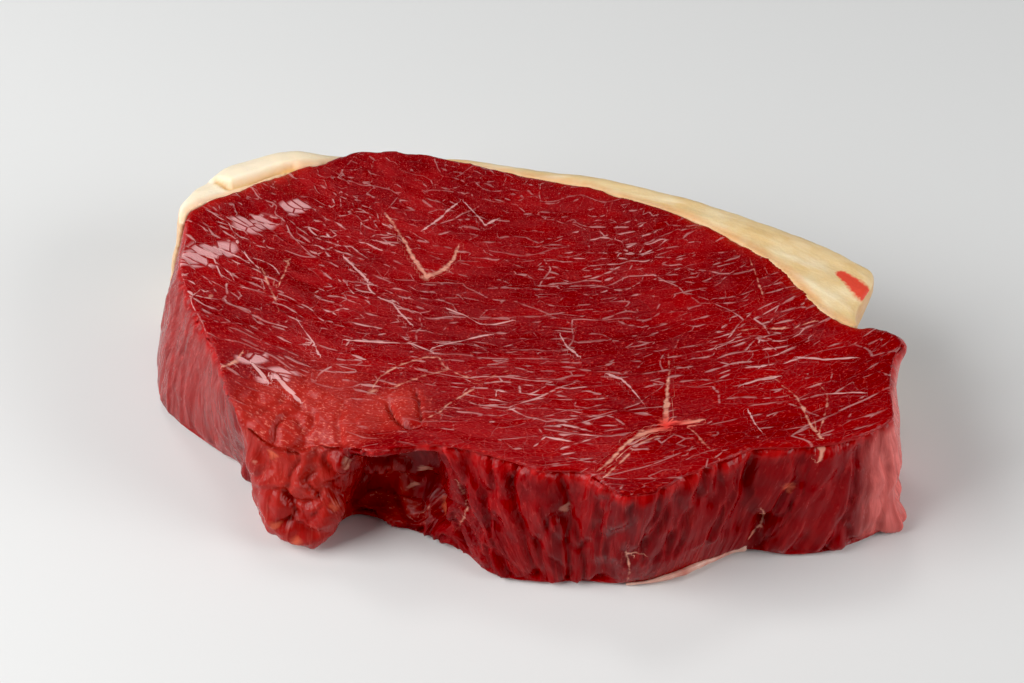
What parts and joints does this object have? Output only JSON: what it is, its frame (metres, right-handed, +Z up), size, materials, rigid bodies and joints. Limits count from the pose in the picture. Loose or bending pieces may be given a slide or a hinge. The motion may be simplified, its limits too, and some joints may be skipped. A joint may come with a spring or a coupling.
{
  "type": "raw sirloin steak",
  "caption": "Thick raw sirloin steak, an uneven oval slab of red meat with a cream fat cap along its back edge and a notch at its front.",
  "frame": {"origin": "the middle of the footprint on the surface that the steak lies on, which is the bounding box's bottom centre", "axes": "+X along the steak's length, from the tapering left end with the flap to the square right end; +Y from the notched front edge to the fat cap; +Z up, out of the cut face"},
  "size_m": [0.199, 0.1352, 0.0398],
  "materials": {
    "lean_meat": "moist raw beef cut across the grain, deep red, wet sheen, pale lines between the fibre bundles",
    "fat": "firm cream beef fat, faintly waxy, with paler streaks and a drier brownish outer edge",
    "seam_fat": "thin pinkish fat and silverskin, moist"
  },
  "bodies": {
    "root": {"lean": "lean_meat", "fat_cap": "fat", "seam_fat": "seam_fat"}
  },
  "joints": []
}
